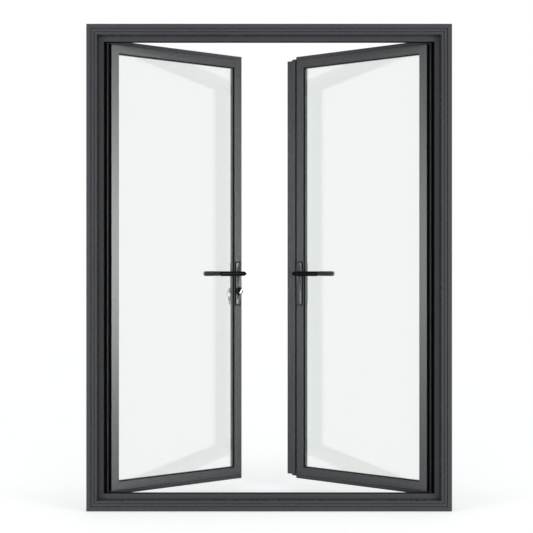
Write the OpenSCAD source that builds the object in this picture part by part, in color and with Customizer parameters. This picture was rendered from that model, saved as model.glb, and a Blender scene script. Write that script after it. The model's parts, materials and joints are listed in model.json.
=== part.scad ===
// Double-leaf aluminium swing door in its frame, standing on its sill.
// +X to the right, +Y away from the room, +Z up, origin under the middle of the sill
// in the plane of the stop lip's front face. The leaves stand part open at rest.
// Profiles are drawn in two measures: u or p inward from the outer edge, q back from the lip's face.

/* [Frame] */
// Width over the outer faces of the frame
frame_w = 1650; // [1400:10:2000]
// Height over the outer faces of the frame
frame_h = 2200; // [1900:10:2600]
// Width of the casing band round the front
casing_w = 46; // [42:1:60]
// How far the casing stands in front of the stop lip
casing_d = 42; // [24:1:60]
// Width of the casing's outer step
casing_step_1 = 19; // [12:0.5:22]
// Width of the casing's second step
casing_step_2 = 14; // [8:0.5:16]
// Drop from the outer step to the second
casing_drop_1 = 3.5; // [1:0.5:6]
// Drop from the second step to the third
casing_drop_2 = 2.5; // [1:0.5:5]
// Width of the shadow grooves beside the casing's steps
groove_w = 3; // [2:0.25:4]
// Depth of the shadow grooves
groove_d = 3; // [2:0.25:4]
// Width of the stop lip inside the casing
lip_w = 26; // [22:1:34]
// Thickness of the stop lip
lip_t = 18; // [14:0.5:20]
// Thickness of the seal on the stop lip's inner edge
lip_seal = 2; // [1:0.25:2.5]
// Wall of the frame profiles
frame_wall = 2; // [1.5:0.1:3]
// Easing of the profile edges
edge = 0.8; // [0.4:0.1:1]
// Diameter of the wall fixing holes in the jambs
fix_d = 9; // [6:0.5:11]
// Height of the outer wall fixings from the frame's ends
fix_end = 250; // [180:5:400]
// Height of the inner wall fixings from the frame's ends
fix_mid = 800; // [600:5:900]

/* [Leaves] */
// Angle to which both leaves stand open
open_deg = 35.5; // [0:0.5:90]
// Thickness of a leaf
leaf_t = 44; // [42:0.5:56]
// Gap between the stop lip and the raised face of a leaf
leaf_gap = 5; // [4:0.5:8]
// Distance from the raised face's edge to the back flange's edge
flange_out = 25; // [23:0.5:27]
// Thickness of the back flange
flange_t = 10; // [8:0.5:11]
// Gap between the back flange and the frame
flange_gap = 4; // [3:0.5:6]
// Distance from the raised face's edge to the middle step's edge
step_out = 11; // [8:0.5:13]
// Room between the stop lip and the middle step, which the stop seal fills
stop_seal = 4; // [3:0.5:5]
// Thickness of the seal round the raised face
edge_seal = 1.5; // [1:0.25:2]
// Width of the raised face
land_w = 39; // [36:0.5:50]
// Wall of the leaf profiles
leaf_wall = 1.8; // [1.4:0.1:2.2]
// Gap between the back flanges of the two leaves
meet_gap = 9; // [8:0.5:14]
// Play that inner pieces and seals have in the profiles
fit_play = 0.2; // [0.1:0.05:0.3]

/* [Glazing] */
// Width of the fin that covers the glass edge
fin_w = 8; // [7:0.5:10]
// Depth of that fin
fin_d = 8; // [6:0.5:10]
// Thickness of the glazing seals
seal_t = 3.5; // [3:0.25:4]
// How far the inner seal shows past the fin
seal_show = 3; // [1:0.5:5]
// Thickness of a pane
pane_t = 5; // [4:0.5:6]
// Width of the cavity between the panes
cavity = 12; // [9:0.5:12]
// Height of the setting blocks under and beside the glass
glass_seat = 3; // [2:0.5:4]
// Width of the spacer bar and its sealant
spacer_w = 8; // [6:0.5:10]
// Width of the glazing beads
bead_w = 7; // [6:0.5:9]
// Length of a setting block
block_l = 100; // [60:5:150]

/* [Hinges] */
// Distance of the outer hinges' middles from the frame's ends
hinge_end = 260; // [220:5:400]
// Height of a hinge
hinge_h = 110; // [90:2:140]
// Height of the two end knuckles
knuckle_h = 30; // [22:1:36]
// Radius of the hinge barrel
barrel_r = 11; // [9:0.5:11.5]
// Radius of the hinge pin
pin_r = 4; // [3:0.25:5]
// Distance of the barrel's axis behind the leaf's back face
hinge_rise = 14; // [14:0.5:18]
// Distance of the barrel's axis outward from the rebate's side
hinge_set = 8; // [6:0.5:10]
// Thickness of the hinge plates
hinge_plate_t = 2.5; // [1.5:0.1:2.5]
// Width of a hinge plate on the leaf
sash_plate_w = 37; // [30:1:44]
// Radial clearance of a pin in the leaf's knuckle
pin_play = 0.05; // [0.02:0.01:0.1]
// End clearance between knuckles
knuckle_play = 0.5; // [0.3:0.1:1]

/* [Handles] */
// Height of the handle spindles above the sill's underside
handle_z = 1070; // [950:5:1150]
// Width of a handle plate
handle_plate_w = 30; // [26:0.5:34]
// Height of a handle plate
handle_plate_h = 208; // [190:1:240]
// Thickness of a handle plate
handle_plate_t = 8; // [5:0.5:10]
// Height of the plate's top above the spindle
handle_plate_up = 55; // [40:1:70]
// Corner radius of a handle plate
handle_plate_r = 6; // [3:0.5:10]
// Length of a lever from the spindle to its tip
lever_l = 142; // [110:1:160]
// Distance of a lever's grip from its plate
lever_out = 46; // [36:1:50]
// Height of a lever's grip
grip_h = 24; // [16:0.5:26]
// Depth of a lever's grip
grip_d = 13; // [10:0.5:16]
// Length of a lever's nose past the spindle
nose_l = 12.5; // [10:0.5:16]
// Radius of a lever's collar
collar_r = 14; // [11:0.5:15]
// Length of a lever's collar
collar_l = 8; // [4:0.5:12]
// Radius of a lever's neck
neck_r = 8; // [7:0.25:10]
// Side of the square spindle
spindle_w = 8; // [6:0.5:8]
// Depth of the spindle's seat in a lever
spindle_seat = 24; // [15:1:30]
// Gap between a lever's collar and its plate
lever_play = 0.3; // [0.2:0.05:0.5]

/* [Lock] */
// Drop from the spindle to the lock cylinder
cyl_drop = 85; // [80:1:95]
// Radius of the lock cylinder's round part
cyl_r = 8.5; // [8:0.25:8.75]
// Width of the lock cylinder's web
cyl_web_w = 10; // [8:0.5:11]
// Overall height of the lock cylinder
cyl_h = 33; // [28:0.5:34]
// Radius of the turning core
core_r = 6; // [5:0.25:6.5]
// Length that the latch stands out of the leaf's edge
latch_out = 12; // [8:0.5:13]
// Height of the latch
latch_h = 18; // [12:1:22]
// Throw of the dead bolt
dead_throw = 20; // [14:0.5:22]
// Height of the dead bolt
dead_h = 30; // [20:1:32]
// Wall of the lock case
case_wall = 1; // [0.8:0.1:1.2]
// Radius of the follower that the spindle turns
follower_r = 8; // [7:0.25:8.25]
// Radius of the thumb turn's hub
hub_r = 17.5; // [14:0.5:19]
// Length of the thumb turn's hub
hub_l = 8; // [6:0.5:12]
// Length of the thumb turn's paddle
paddle_l = 32; // [22:1:34]
// Width of the thumb turn's paddle
paddle_w = 9; // [6:0.5:12]
// Depth of the thumb turn's paddle
paddle_d = 15; // [10:0.5:18]
// Slant of the paddle from upright
paddle_tilt = 30; // [0:5:60]
// Radius of the inserted key's bow
bow_r = 14; // [10:0.5:16]
// Gap between the outer plate and the inserted key's bow
key_gap = 9; // [3:0.5:11]
// Thickness of the keys
key_t = 2.2; // [1.8:0.1:2.6]
// Radius of the hole in a key's bow
bow_hole_r = 3.5; // [3:0.25:4]
// Mean radius of the split ring
ring_r = 15; // [11:0.5:17]
// Radius of the split ring's wire
ring_wire_r = 1; // [0.7:0.1:1.2]
// Radius of the spare key's bow
spare_bow_r = 10.5; // [9:0.5:12]
// Length of the spare key's blade
spare_blade_l = 21; // [15:1:24]

/* [Bolts and mullion] */
// Throw of the top and bottom bolts
rod_throw = 30; // [24:1:34]
// Radius of the top and bottom bolts
rod_r = 4; // [3:0.25:4]
// Offset of the bolts from the spindle toward the meeting edge
rod_set = 8.5; // [7:0.5:10]
// Half height of the bolt gearbox
gear_h = 70; // [60:1:90]
// Gap between the mullion's face and the passive leaf's raised face
mullion_gap = 8; // [4:0.5:10]
// Gap between the mullion's web and the active leaf's middle step
web_gap = 7; // [5:0.5:9]
// Wall of the mullion at the back of its web
web_back = 1.2; // [1:0.1:1.4]
// Gap between the mullion's web and the active leaf's flange
web_play = 0.4; // [0.3:0.1:0.5]
// Thickness of the strike plate and of the bolt keeps
strike_t = 2; // [1.5:0.1:3]

/* [Hidden] */
$fn = 48;
eps = 0.01;
anthracite = "#4b4e52";
black_coat = "#1f2022";
rubber_black = "#151617";
steel = "#b9bcc0";
glass_tint = "#dbe8e8";
sight_u = casing_w + lip_w;
land_u = sight_u + leaf_gap;
rebate_u = land_u - flange_out - flange_gap;
step_q = lip_t + stop_seal;
flange_q = leaf_t - flange_t;
step_p = flange_out - step_out;
land_in = flange_out + land_w;
pocket_p = land_in - fin_w;
glass_p = pocket_p + glass_seat;
glass_q = fin_d + seal_t;
unit_t = 2 * pane_t + cavity;
bead_q = glass_q + unit_t + seal_t;
leaf_x0 = land_u - flange_out - frame_w / 2;
leaf_x1 = -meet_gap / 2;
leaf_w = leaf_x1 - leaf_x0;
leaf_z0 = land_u - flange_out;
leaf_h = frame_h - 2 * leaf_z0;
axis_x = rebate_u - hinge_set - frame_w / 2;
axis_y = leaf_t + hinge_rise;
hinge_heights = [hinge_end, frame_h / 2, frame_h - hinge_end];
spindle_p = flange_out + land_w / 2;
spindle_x = leaf_x1 - spindle_p;
cyl_z = handle_z - cyl_drop;
lock_room = flange_q - step_q - leaf_wall;
lock_q = flange_q - lock_room / 2;
case_t = lock_room - 1.2;
bolt_t = case_t - 2 * case_wall - 0.6;
dead_z = handle_z - cyl_drop / 2;
case_top = handle_z + 62;
case_bottom = cyl_z - 45;
case_p0 = step_p + leaf_wall;
case_p1 = pocket_p - leaf_wall - fit_play;
face_w = case_t + 0.8;
rod_p = spindle_p - rod_set;
rod_rest_z = leaf_z0 + leaf_h - step_p - 0.5;
rod_foot = 45;
land_x = meet_gap / 2 + flange_out;
step_x = meet_gap / 2 + step_p;
mullion_x0 = leaf_gap - land_x;
mullion_x1 = land_x - mullion_gap;
web_x0 = web_gap - step_x;
web_x1 = step_x;
web_y = flange_q - web_play;
web_split = meet_gap / 2 + 0.5;
cap_h = step_out;
key_q = leaf_t + handle_plate_t + key_gap;
bow_q = key_q + bow_r;
hole_q = bow_q + bow_r - bow_hole_r - 3;

// Helpers for profiles

function unit(v) = v / norm(v);

// Each corner of an outline cut back by c along both of its sides
function eased(pts, c) = [
    for (i = [0 : len(pts) - 1])
        let (v = pts[i], a = pts[(i + len(pts) - 1) % len(pts)], b = pts[(i + 1) % len(pts)])
            each [v + c * unit(a - v), v + c * unit(b - v)]
];

// A profile bar along +Z, cut at 45 degrees at both ends for a frame corner
module mitred_bar(length, reach, q0, q1) {
    intersection() {
        linear_extrude(length) children();
        translate([0, q1, 0])
            rotate([90, 0, 0])
                linear_extrude(q1 - q0)
                    polygon([[-eps, -eps], [-eps, length + eps], [reach, length - reach], [reach, reach]]);
    }
}

// Stands a bar's copy along the top of a frame, or along its foot
module along_top(x0, z) translate([x0, 0, z]) rotate([0, 90, 0]) children();
module along_foot(x0, z) translate([x0, 0, z]) mirror([0, 0, 1]) rotate([0, 90, 0]) children();

// A flat ring that follows the leaf or frame outline between two distances from its edge
module outline_ring(x0, z0, w, h, p0, p1, q0, q1) {
    translate([x0, q1, z0])
        rotate([90, 0, 0])
            linear_extrude(q1 - q0)
                difference() {
                    translate([p0, p0]) square([w - 2 * p0, h - 2 * p0]);
                    translate([p1, p1]) square([w - 2 * p1, h - 2 * p1]);
                }
}

// Four angle pieces in the corners of an outline, each leg reaching from its corner
module corner_angles(x0, z0, w, h, p0, p1, leg, q0, q1) {
    for (sx = [0, 1], sz = [0, 1])
        translate([x0 + sx * w, q1, z0 + sz * h])
            mirror([sx, 0, 0]) mirror([0, 0, sz])
                rotate([90, 0, 0])
                    linear_extrude(q1 - q0)
                        polygon([[p0, p0], [leg, p0], [leg, p1], [p1, p1], [p1, leg], [p0, leg]]);
}

// The leaves in their open places: children are drawn closed, as on the left
module on_left() {
    translate([axis_x, axis_y, 0]) rotate([0, 0, open_deg]) translate([-axis_x, -axis_y, 0]) children();
}
module on_right() mirror([1, 0, 0]) on_left() children();

// Things on the spindle line or on the lock line, with +Z turned to point away from the leaf
module inner_face(z) translate([spindle_x, 0, z]) rotate([0, 180, 0]) rotate([90, 0, 0]) children();
module outer_face(z) translate([spindle_x, leaf_t, z]) rotate([0, 180, 0]) rotate([-90, 0, 0]) children();
// A straight hole or bar from front to back, q0 to q1
module through(z, q0, q1) translate([spindle_x, q1, z]) rotate([90, 0, 0]) linear_extrude(q1 - q0) children();

// Frame

frame_front_1 = -casing_d + casing_drop_1;
frame_front_2 = frame_front_1 + casing_drop_2;
casing_u2 = casing_step_1 + casing_step_2;

// One step of the casing: a groove from u at the drop to q, then the next flat
function step_down(u, q) = [[u, q + groove_d], [u + groove_w, q + groove_d], [u + groove_w, q]];

module frame_profile() {
    w = frame_wall;
    groove_u = casing_w + groove_w;
    room_1 = frame_front_1 + groove_d + w;
    room_2 = frame_front_2 + groove_d + w;
    difference() {
        polygon(eased(concat(
            [[0, -casing_d], [casing_step_1, -casing_d]], step_down(casing_step_1, frame_front_1),
            [[casing_u2, frame_front_1]], step_down(casing_u2, frame_front_2),
            [[casing_w, frame_front_2]], step_down(casing_w, 0),
            [[sight_u, 0], [sight_u, lip_t], [rebate_u, lip_t], [rebate_u, leaf_t], [0, leaf_t]]
        ), edge));
        polygon([
            [w, w - casing_d], [casing_step_1 - w, w - casing_d], [casing_step_1 - w, room_1],
            [casing_u2 - w, room_1], [casing_u2 - w, room_2], [casing_w - w, room_2], [casing_w - w, 0], [w, 0]
        ]);
        polygon([
            [w, w], [casing_w - w, w], [casing_w - w, groove_d + w], [groove_u + w, groove_d + w],
            [groove_u + w, w], [sight_u - w, w], [sight_u - w, lip_t - w], [rebate_u - w, lip_t - w],
            [rebate_u - w, leaf_t - w], [w, leaf_t - w]
        ]);
    }
}

module frame_bar(length) mitred_bar(length, sight_u, -casing_d - 1, leaf_t + 1) frame_profile();

fix_y = (lip_t + leaf_t) / 2;
fix_heights = [fix_end, fix_mid, frame_h - fix_mid, frame_h - fix_end];

module frame_jamb() {
    difference() {
        translate([-frame_w / 2, 0, 0]) frame_bar(frame_h);
        for (z = fix_heights)
            translate([-frame_w / 2 - 1, fix_y, z]) rotate([0, 90, 0]) cylinder(d = fix_d, h = rebate_u + 2);
    }
}
module frame_jamb_left() color(anthracite) frame_jamb();
module frame_jamb_right() color(anthracite) mirror([1, 0, 0]) frame_jamb();

keep_x = meet_gap / 2 + rod_p;
keep_hole_r = rod_r + 0.6;

module keep_hole() {
    translate([keep_x, lock_q, rebate_u - frame_wall - 1]) cylinder(r = keep_hole_r, h = frame_wall + 2);
}
module frame_sill() {
    color(anthracite) difference() {
        along_foot(-frame_w / 2, 0) frame_bar(frame_w);
        keep_hole();
    }
}
module frame_head() {
    color(anthracite) difference() {
        along_top(-frame_w / 2, frame_h) frame_bar(frame_w);
        translate([0, 0, frame_h]) mirror([0, 0, 1]) keep_hole();
    }
}

cleat_leg = 130;
cleat_t = 20;
module frame_corner_cleats() {
    color("silver")
        corner_angles(-frame_w / 2, 0, frame_w, frame_h, frame_wall + fit_play, rebate_u - frame_wall - fit_play,
            cleat_leg, leaf_t - frame_wall - fit_play - cleat_t, leaf_t - frame_wall - fit_play);
}

// The seal ring lies on the back of the stop lip, short of the leaf by the play, and folds over its edge
seal_front = 2;
module frame_ring(u0, u1, q0, q1) outline_ring(-frame_w / 2, 0, frame_w, frame_h, u0, u1, q0, q1);
module frame_stop_gasket() {
    color(rubber_black) {
        frame_ring(sight_u - 10, sight_u + lip_seal, lip_t, step_q - 0.3);
        frame_ring(sight_u, sight_u + lip_seal, seal_front, lip_t + eps);
    }
}

keep_l = 40;
module one_keep() {
    difference() {
        translate([keep_x - keep_l / 2, step_q - 1, rebate_u])
            cube([keep_l, flange_q - step_q, strike_t]);
        translate([keep_x, lock_q, rebate_u - 1]) cylinder(r = rod_r + 0.4, h = strike_t + 2);
    }
}
module bolt_keeps() {
    color(steel) {
        one_keep();
        translate([0, 0, frame_h]) mirror([0, 0, 1]) one_keep();
    }
}

// Hinges: the frame leaf holds the pin in two end knuckles, the sash leaf turns between them

frame_plate_x0 = -34;
frame_plate_x1 = 4;
sash_plate_x0 = leaf_x0 - axis_x + 0.5;
plate_y0 = -hinge_rise;
plate_y1 = hinge_plate_t - hinge_rise;

module at_hinges() for (z = hinge_heights) translate([axis_x, axis_y, z - hinge_h / 2]) children();

module frame_knuckle() {
    difference() {
        linear_extrude(knuckle_h) union() {
            circle(r = barrel_r);
            polygon([
                [frame_plate_x0 + 8, plate_y1 - eps], [frame_plate_x1, plate_y1 - eps],
                [frame_plate_x1, 0], [-barrel_r * 0.8, barrel_r * 0.6]
            ]);
        }
        translate([0, 0, -1]) cylinder(r = pin_r + 0.02, h = knuckle_h + 2);
    }
}
module frame_hinge_leaf() {
    translate([frame_plate_x0, plate_y0, 0]) cube([frame_plate_x1 - frame_plate_x0, hinge_plate_t, hinge_h]);
    frame_knuckle();
    translate([0, 0, hinge_h - knuckle_h]) frame_knuckle();
}
module left_hinge_frame_leaves() color(black_coat) at_hinges() frame_hinge_leaf();
module right_hinge_frame_leaves() color(black_coat) mirror([1, 0, 0]) at_hinges() frame_hinge_leaf();

module sash_hinge_leaf() {
    mid_h = hinge_h - 2 * knuckle_h - 2 * knuckle_play;
    translate([sash_plate_x0, plate_y0, 0]) cube([sash_plate_w, hinge_plate_t, hinge_h]);
    translate([0, 0, knuckle_h + knuckle_play]) difference() {
        linear_extrude(mid_h) union() {
            circle(r = barrel_r);
            polygon([
                [0, plate_y1 + 0.5], [sash_plate_x0, plate_y1 + 0.5], [sash_plate_x0, plate_y1 - eps],
                [sash_plate_x0 + 14, plate_y1 - eps], [barrel_r * 0.8, barrel_r * 0.6], [0, 0]
            ]);
        }
        translate([0, 0, -1]) cylinder(r = pin_r + pin_play, h = mid_h + 2);
    }
}
module left_hinge_sash_leaves() color(black_coat) on_left() at_hinges() sash_hinge_leaf();
module right_hinge_sash_leaves() color(black_coat) on_right() at_hinges() sash_hinge_leaf();

pin_head_h = 4;
module hinge_pin() {
    translate([0, 0, -pin_head_h]) cylinder(r = barrel_r - 2, h = pin_head_h);
    cylinder(r = pin_r, h = hinge_h);
    translate([0, 0, hinge_h]) cylinder(r = barrel_r - 2, h = pin_head_h);
}
module hinge_pins() {
    color(black_coat) {
        at_hinges() hinge_pin();
        mirror([1, 0, 0]) at_hinges() hinge_pin();
    }
}

// Leaf profiles

module leaf_profile() {
    w = leaf_wall;
    difference() {
        polygon(eased([
            [0, flange_q], [step_p, flange_q], [step_p, step_q], [flange_out, step_q], [flange_out, 0],
            [land_in, 0], [land_in, fin_d], [land_in - 2 * w, fin_d], [land_in - 2 * w, 2 * w],
            [pocket_p, 2 * w], [pocket_p, leaf_t], [0, leaf_t]
        ], edge));
        polygon([
            [w, flange_q + w], [step_p + w, flange_q + w], [step_p + w, step_q + w],
            [flange_out + w, step_q + w], [flange_out + w, w], [pocket_p - w, w],
            [pocket_p - w, leaf_t - w], [w, leaf_t - w]
        ]);
    }
}
module leaf_bar(length) mitred_bar(length, land_in, -1, leaf_t + 1) leaf_profile();

module hinge_stile() translate([leaf_x0, 0, leaf_z0]) leaf_bar(leaf_h);
module plain_lock_stile() translate([leaf_x1, 0, leaf_z0]) mirror([1, 0, 0]) leaf_bar(leaf_h);
module top_rail() along_top(leaf_x0, leaf_z0 + leaf_h) leaf_bar(leaf_w);
module bottom_rail() along_foot(leaf_x0, leaf_z0) leaf_bar(leaf_w);

// The lock cylinder's outline: a round part with a narrow web hanging from it
module cylinder_outline(play) {
    circle(r = cyl_r + play);
    translate([-cyl_web_w / 2 - play, cyl_r - cyl_h + cyl_web_w / 2])
        square([cyl_web_w + 2 * play, cyl_h - cyl_r - cyl_web_w / 2]);
    translate([0, cyl_r - cyl_h + cyl_web_w / 2]) circle(d = cyl_web_w + 2 * play);
}

spindle_hole_r = follower_r + 0.5;
module spindle_holes() through(handle_z, -1, leaf_t + 1) circle(r = spindle_hole_r);

module left_hinge_stile() color(anthracite) on_left() hinge_stile();
module left_top_rail() color(anthracite) on_left() top_rail();
module left_bottom_rail() color(anthracite) on_left() bottom_rail();
module left_lock_stile() {
    color(anthracite) on_left() difference() {
        plain_lock_stile();
        spindle_holes();
        through(cyl_z, -1, leaf_t + 1) cylinder_outline(1);
        translate([leaf_x1 - case_p0 - eps, lock_q - face_w / 2 - 0.1, face_z0 - 0.1])
            cube([leaf_wall + 1, face_w + 0.2, face_h + 0.2]);
    }
}

rod_hole_r = rod_r + 0.3;
module rod_at(z, r, h) translate([leaf_x1 - rod_p, lock_q, z]) cylinder(r = r, h = h);
module rod_hole() rod_at(leaf_z0 + step_p - 1, rod_hole_r, leaf_wall + 2);
module upended() translate([0, 0, frame_h]) mirror([0, 0, 1]) children();

module right_hinge_stile() color(anthracite) on_right() hinge_stile();
module right_lock_stile() {
    color(anthracite) on_right() difference() {
        plain_lock_stile();
        spindle_holes();
    }
}
module right_top_rail() {
    color(anthracite) on_right() difference() {
        top_rail();
        upended() rod_hole();
    }
}
module right_bottom_rail() {
    color(anthracite) on_right() difference() {
        bottom_rail();
        rod_hole();
    }
}

leaf_cleat_leg = 110;
module leaf_cleats() {
    corner_angles(leaf_x0, leaf_z0, leaf_w, leaf_h, flange_out + leaf_wall + fit_play,
        pocket_p - leaf_wall - fit_play, leaf_cleat_leg, leaf_wall + fit_play, step_q - 1);
}
module left_corner_cleats() color("silver") on_left() leaf_cleats();
module right_corner_cleats() color("silver") on_right() leaf_cleats();

// Glazing

module pane(q) {
    translate([leaf_x0 + glass_p, q, leaf_z0 + glass_p])
        cube([leaf_w - 2 * glass_p, pane_t, leaf_h - 2 * glass_p]);
}
module panes() {
    pane(glass_q);
    pane(glass_q + pane_t + cavity);
}
module left_glass_panes() color(glass_tint, 0.4) on_left() panes();
module right_glass_panes() color(glass_tint, 0.4) on_right() panes();

module leaf_ring(p0, p1, q0, q1) outline_ring(leaf_x0, leaf_z0, leaf_w, leaf_h, p0, p1, q0, q1);

module spacer() leaf_ring(glass_p, glass_p + spacer_w, glass_q + pane_t, glass_q + pane_t + cavity);
module left_glass_spacer() color("gray") on_left() spacer();
module right_glass_spacer() color("gray") on_right() spacer();

// The strip in the step of the hinge stile is folded from the flange's face onto the middle step's side
module hinge_side_strip() {
    corner = edge + fit_play;
    strip_t = corner + 0.8;
    strip_z = leaf_z0 + step_p + corner;
    strip_l = leaf_h - 2 * (step_p + corner);
    translate([leaf_x0 + edge, flange_q - strip_t, strip_z])
        cube([step_p - edge - corner, strip_t, strip_l]);
    translate([leaf_x0 + step_p - strip_t, step_q + corner, strip_z])
        cube([strip_t, flange_q - step_q - 2 * corner, strip_l]);
}

// Two seals hold the glass, a third runs round the side of the raised face, and a strip lines the hinge side
module leaf_gaskets() {
    hinge_side_strip();
    leaf_ring(glass_p, land_in + seal_show, fin_d, glass_q);
    leaf_ring(glass_p, pocket_p + bead_w, glass_q + unit_t, bead_q);
    leaf_ring(flange_out - edge_seal, flange_out, seal_front, step_q - edge - fit_play);
}
module left_leaf_gaskets() color(rubber_black) on_left() leaf_gaskets();
module right_leaf_gaskets() color(rubber_black) on_right() leaf_gaskets();

// Two blocks under the glass, two over it and two at each side
block_in = 120;
module setting_blocks() {
    for (x = [leaf_x0 + block_in, leaf_x1 - block_in - block_l])
        for (z = [leaf_z0 + pocket_p, leaf_z0 + leaf_h - glass_p])
            translate([x, glass_q, z]) cube([block_l, unit_t, glass_seat]);
    for (z = [leaf_z0 + 2 * block_in, leaf_z0 + leaf_h - 2 * block_in - block_l])
        for (x = [leaf_x0 + pocket_p, leaf_x1 - glass_p])
            translate([x, glass_q, z]) cube([glass_seat, unit_t, block_l]);
}
module left_setting_blocks() color("dimgray") on_left() setting_blocks();
module right_setting_blocks() color("dimgray") on_right() setting_blocks();

// Beads: two across the full pocket, two upright between them
module glazing_beads() {
    t = leaf_t - bead_q;
    for (z = [leaf_z0 + pocket_p, leaf_z0 + leaf_h - pocket_p - bead_w])
        translate([leaf_x0 + pocket_p, bead_q, z]) cube([leaf_w - 2 * pocket_p, t, bead_w]);
    for (x = [leaf_x0 + pocket_p, leaf_x1 - pocket_p - bead_w])
        translate([x, bead_q, leaf_z0 + pocket_p + bead_w + fit_play / 2])
            cube([bead_w, t, leaf_h - 2 * pocket_p - 2 * bead_w - fit_play]);
}
module left_glazing_beads() color(anthracite) on_left() glazing_beads();
module right_glazing_beads() color(anthracite) on_right() glazing_beads();

// Handles

// A plate's outline round the spindle, with rounded corners
module plate_outline() {
    r = handle_plate_r;
    x0 = -handle_plate_w / 2;
    z0 = handle_plate_up - handle_plate_h;
    for (x = [x0 + r, -x0 - r], z = [z0 + r, handle_plate_up - r]) translate([x, z]) circle(r = r);
    translate([x0 + r, z0]) square([handle_plate_w - 2 * r, handle_plate_h]);
    translate([x0, z0 + r]) square([handle_plate_w, handle_plate_h - 2 * r]);
}
module handle_plate(q0, with_cylinder) {
    difference() {
        through(handle_z, q0, q0 + handle_plate_t) plate_outline();
        through(handle_z, q0 - 1, q0 + handle_plate_t + 1) circle(r = spindle_hole_r);
        if (with_cylinder) through(cyl_z, q0 - 1, q0 + handle_plate_t + 1) cylinder_outline(0.1);
    }
}
module left_inner_plate() color(anthracite) on_left() handle_plate(-handle_plate_t, true);
module left_outer_plate() color(anthracite) on_left() handle_plate(leaf_t, true);
module right_inner_plate() color(anthracite) on_right() handle_plate(-handle_plate_t, false);
module right_outer_plate() color(anthracite) on_right() handle_plate(leaf_t, false);

// The grip's section, rounded at its top and bottom edges
module grip_section() {
    round_y = (grip_h - grip_d) / 2;
    for (s = [-1, 1]) translate([s * round_y, 0]) circle(d = grip_d);
    square([2 * round_y, grip_d], center = true);
}

// A lever on its plate: collar, neck, then the grip along +X with a blunt nose behind the neck
tip_r = grip_h / 2 + 1;
elbow_r = grip_h / 2 - 1;
nose_r = neck_r / 3;
module lever() {
    difference() {
        union() {
            translate([0, 0, lever_play]) cylinder(r = collar_r, h = collar_l);
            translate([0, 0, collar_l]) cylinder(r = neck_r, h = lever_out - collar_l);
            intersection() {
                translate([-2 * tip_r, 0, lever_out]) rotate([90, 0, 90])
                    linear_extrude(lever_l + 4 * tip_r) grip_section();
                translate([0, 0, lever_out - grip_d]) linear_extrude(2 * grip_d) {
                    translate([nose_r - nose_l, 0]) circle(r = nose_r);
                    polygon([
                        [nose_r - nose_l, -nose_r], [0, -elbow_r], [lever_l - tip_r, -tip_r],
                        [lever_l - tip_r, tip_r], [0, elbow_r], [nose_r - nose_l, nose_r]
                    ]);
                    translate([lever_l - tip_r, 0]) circle(r = tip_r);
                }
            }
        }
        translate([-spindle_w / 2 - 0.05, -spindle_w / 2 - 0.05, -1])
            cube([spindle_w + 0.1, spindle_w + 0.1, spindle_seat + 1]);
    }
}
module lever_inside() inner_face(handle_z) translate([0, 0, handle_plate_t]) lever();
module lever_outside() outer_face(handle_z) translate([0, 0, handle_plate_t]) lever();
module left_inner_lever() color(black_coat) on_left() lever_inside();
module left_outer_lever() color(black_coat) on_left() lever_outside();
module right_inner_lever() color(black_coat) on_right() lever_inside();
module right_outer_lever() color(black_coat) on_right() lever_outside();

spindle_end = handle_plate_t + spindle_seat - 0.5;
module spindle() through(handle_z, -spindle_end, leaf_t + spindle_end) square(spindle_w, center = true);
module left_spindle() color(steel) on_left() spindle();
module right_spindle() color(steel) on_right() spindle();

// Lock of the active leaf

face_z0 = case_bottom - 12;
face_h = case_top + 12 - face_z0;
bolt_q0 = lock_q - bolt_t / 2;

// A block in the lock's own measures: p inward from the flange's edge, across the lock's middle plane
module lock_block(p0, p1, z0, z1, t) {
    translate([leaf_x1 - p1, lock_q - t / 2, z0]) cube([p1 - p0, t, z1 - z0]);
}
module bolt_slots(p0, p1, play) {
    lock_block(p0, p1, handle_z - latch_h / 2 - play, handle_z + latch_h / 2 + play, bolt_t + 2 * play);
    lock_block(p0, p1, dead_z - dead_h / 2 - play, dead_z + dead_h / 2 + play, bolt_t + 2 * play);
}
module lock_case() {
    w = case_wall;
    color(steel) on_left() difference() {
        lock_block(case_p0, case_p1, case_bottom, case_top, case_t);
        lock_block(case_p0 + w, case_p1 - w, case_bottom + w, case_top - w, case_t - 2 * w);
        bolt_slots(case_p0 - 1, case_p0 + w + 1, 0.25);
        through(handle_z, 0, leaf_t) circle(r = follower_r + 0.1);
        through(cyl_z, 0, leaf_t) cylinder_outline(0.2);
    }
}
module lock_faceplate() {
    color(steel) on_left() difference() {
        lock_block(step_p, case_p0, face_z0, face_z0 + face_h, face_w);
        bolt_slots(step_p - 1, case_p0 + 1, 0.25);
    }
}
module lock_follower() {
    color(steel) on_left() through(handle_z, lock_q - case_t / 2, lock_q + case_t / 2) difference() {
        circle(r = follower_r);
        square(spindle_w + 0.1, center = true);
    }
}
// The latch's sloped side meets the mullion first as the leaf closes
module latch_bolt() {
    nose = step_p - latch_out;
    q1 = bolt_q0 + bolt_t;
    color(steel) on_left() translate([leaf_x1, 0, handle_z - latch_h / 2]) mirror([1, 0, 0])
        linear_extrude(latch_h)
            polygon([[nose, q1], [nose, q1 - 1.5], [step_p - 1, bolt_q0],
                [step_p + 8, bolt_q0], [step_p + 8, q1]]);
}
module dead_bolt() {
    color(steel) on_left()
        lock_block(step_p + 0.2, step_p + dead_throw + 10, dead_z - dead_h / 2, dead_z + dead_h / 2, bolt_t);
}

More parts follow.
